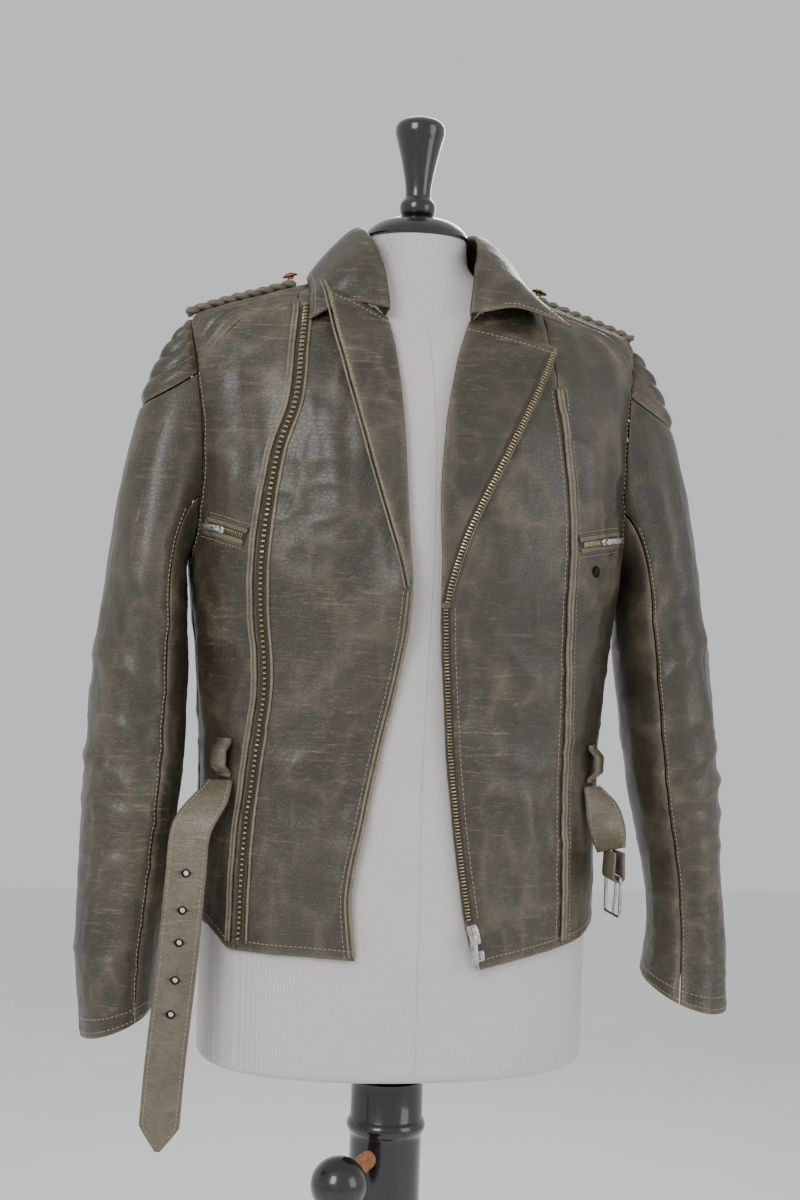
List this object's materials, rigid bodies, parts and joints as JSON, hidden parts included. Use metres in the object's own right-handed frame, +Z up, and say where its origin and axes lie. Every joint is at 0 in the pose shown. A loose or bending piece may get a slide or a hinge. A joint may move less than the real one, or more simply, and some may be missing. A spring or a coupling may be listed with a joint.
{
  "type": "worn leather jacket on a dress form and stand",
  "caption": "Worn leather biker jacket with an asymmetric zip, filled out on a limbless linen dress form with a turned neck cap, on a column stand that slides and swivels.",
  "frame": {"origin": "centre of the base plate's flat underside, on the floor under the column", "axes": "+Z up along the column, the jacket's front faces -Y, the wearer's left is +X"},
  "size_m": [0.6221, 0.4, 1.667],
  "materials": {
    "leather": "worn, semi-gloss, scuffed",
    "zip_teeth": "aged",
    "nickel": "worn plating",
    "copper": "satin copper",
    "dark_snap": "satin",
    "linen": "woven, matte",
    "black_wood": "gloss lacquer",
    "pale_wood": "bare",
    "steel": "brushed"
  },
  "bodies": {
    "stand": {"base_plate": "black_wood", "stand_column": "black_wood"},
    "clamp": {"clamp_screw": "pale_wood", "clamp_knob": "black_wood"},
    "pole": {"pole": "steel"},
    "form": {"front_right_side": "leather", "front_right_centre": "leather", "front_left_side": "leather", "front_left_centre": "leather", "back": "leather", "yoke_right": "leather", "yoke_left": "leather", "sleeve_cap_right": "leather", "sleeve_top_right": "leather", "sleeve_under_right": "leather", "sleeve_cap_left": "leather", "sleeve_top_left": "leather", "sleeve_under_left": "leather", "gusset_left": "leather", "lapel_right": "leather", "lapel_left": "leather", "collar": "leather", "welt_right": "leather", "welt_left": "leather", "pocket_frame_right": "leather", "pocket_frame_left": "leather", "epaulette_right": "leather", "epaulette_left": "leather", "belt_back": "leather", "loop_back_left": "leather", "loop_back_right": "leather", "belt_right": "leather", "belt_left": "leather", "loop_right": "leather", "loop_left": "leather", "buckle_keeper": "leather", "zip_right": "zip_teeth", "zip_lapel": "zip_teeth", "zip_left": "zip_teeth", "pocket_zip_right": "zip_teeth", "pocket_zip_left": "zip_teeth", "cuff_zip_right": "zip_teeth", "cuff_zip_left": "zip_teeth", "main_slider": "nickel", "zip_box": "nickel", "button_right": "copper", "button_left": "copper", "neck_cap": "black_wood", "form_flange": "black_wood", "snap_ring": "dark_snap", "form_bust": "linen"},
    "main_pull": {"main_pull": "nickel"},
    "pocket_pull_right": {"pocket_pull_right": "nickel"},
    "pocket_pull_left": {"pocket_pull_left": "nickel"},
    "cuff_pull_right": {"cuff_pull_right": "nickel"},
    "cuff_pull_left": {"cuff_pull_left": "nickel"},
    "buckle": {"buckle_frame": "nickel"}
  },
  "joints": [
    {"name": "height", "type": "slide", "parent": "stand", "child": "pole", "axis": [0, 0, 1], "range_m": [0, 0.25]},
    {"name": "swivel", "type": "hinge", "parent": "pole", "child": "form", "pos_m": [0, 0, 0.78], "axis": [0, 0, 1], "continuous": true},
    {"name": "clamp_turn", "type": "hinge", "parent": "stand", "child": "clamp", "pos_m": [0, 0, 0.692], "axis": [-0.6206, -0.7607, -0.1902], "continuous": true},
    {"name": "main_pull_swing", "type": "hinge", "parent": "form", "child": "main_pull", "pos_m": [0.04712, -0.13238, 0.91394], "axis": [-0.9878, -0.1262, -0.0916], "range_deg": [0, 100]},
    {"name": "pocket_pull_right_swing", "type": "hinge", "parent": "form", "child": "pocket_pull_right", "pos_m": [-0.1865, -0.07994, 1.26621], "axis": [0.0914, -0.1511, 0.9843], "range_deg": [0, 90]},
    {"name": "pocket_pull_left_swing", "type": "hinge", "parent": "form", "child": "pocket_pull_left", "pos_m": [0.17053, -0.09574, 1.26863], "axis": [0.0843, 0.0686, -0.9941], "range_deg": [0, 90]},
    {"name": "cuff_pull_right_swing", "type": "hinge", "parent": "form", "child": "cuff_pull_right", "pos_m": [-0.28175, 0.03222, 0.90027], "axis": [0.7806, 0.6239, -0.0369], "range_deg": [0, 90]},
    {"name": "cuff_pull_left_swing", "type": "hinge", "parent": "form", "child": "cuff_pull_left", "pos_m": [0.30882, 0.02557, 0.90951], "axis": [0.7581, -0.6511, 0.0363], "range_deg": [0, 90]},
    {"name": "buckle_swing", "type": "hinge", "parent": "form", "child": "buckle", "pos_m": [0.19, -0.084, 0.962], "axis": [0, 1, 0], "range_deg": [-15, 16]}
  ]
}
